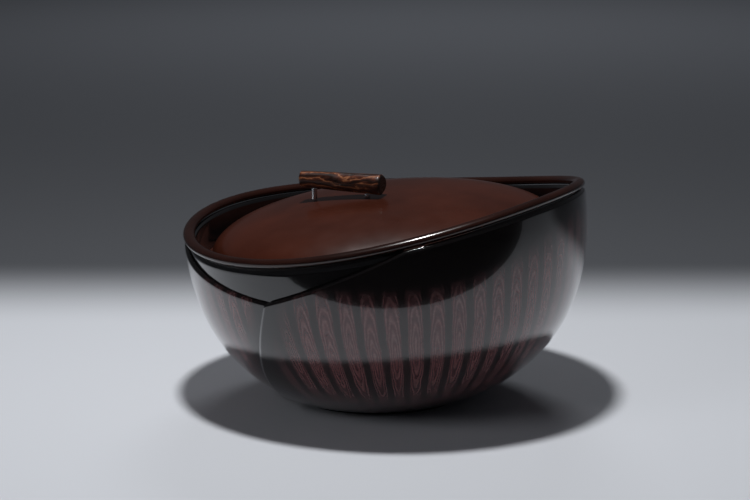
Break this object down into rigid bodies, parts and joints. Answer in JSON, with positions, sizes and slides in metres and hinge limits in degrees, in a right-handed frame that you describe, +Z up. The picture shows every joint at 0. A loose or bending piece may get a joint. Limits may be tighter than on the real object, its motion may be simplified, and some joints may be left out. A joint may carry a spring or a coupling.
{
  "type": "lidded lacquer container",
  "caption": "Leaning round lacquer bowl with a lapped striped skin, V-shaped neck, rounded lip and a domed lift-off lid with a wooden bar handle.",
  "frame": {"origin": "middle of the bounding box at the level of the surface it stands on", "axes": "+Z up, front towards -Y, the bowl's own axis leans 5.4 degrees towards -X"},
  "size_m": [0.236, 0.2368, 0.1346],
  "materials": {
    "black_lacquer": "gloss black lacquer",
    "striped_lacquer": "gloss lacquer, black over ground-through rose stripes",
    "red_lacquer": "satin red-brown lacquer",
    "seat_lacquer": "satin red-brown lacquer",
    "foot_lacquer": "gloss black lacquer",
    "lid_lacquer": "satin red-brown lacquer",
    "spigot_lacquer": "satin red-brown lacquer",
    "handle_wood": "oiled dark wood",
    "post_metal": "polished silver-coloured metal"
  },
  "bodies": {
    "bowl": {"inner_bowl": "black_lacquer", "outer_wrap": "striped_lacquer", "rim_ring": "red_lacquer", "lid_seat_ring": "seat_lacquer", "foot_ring": "foot_lacquer"},
    "lid": {"lid_dome": "lid_lacquer", "lid_spigot_ring": "spigot_lacquer", "handle_bar": "handle_wood", "handle_post_left": "post_metal", "handle_post_right": "post_metal"}
  },
  "joints": [
    {"name": "lid_lift", "type": "slide", "parent": "bowl", "child": "lid", "axis": [-0.0941, 0, 0.9956], "range_m": [0, 0.12]}
  ]
}
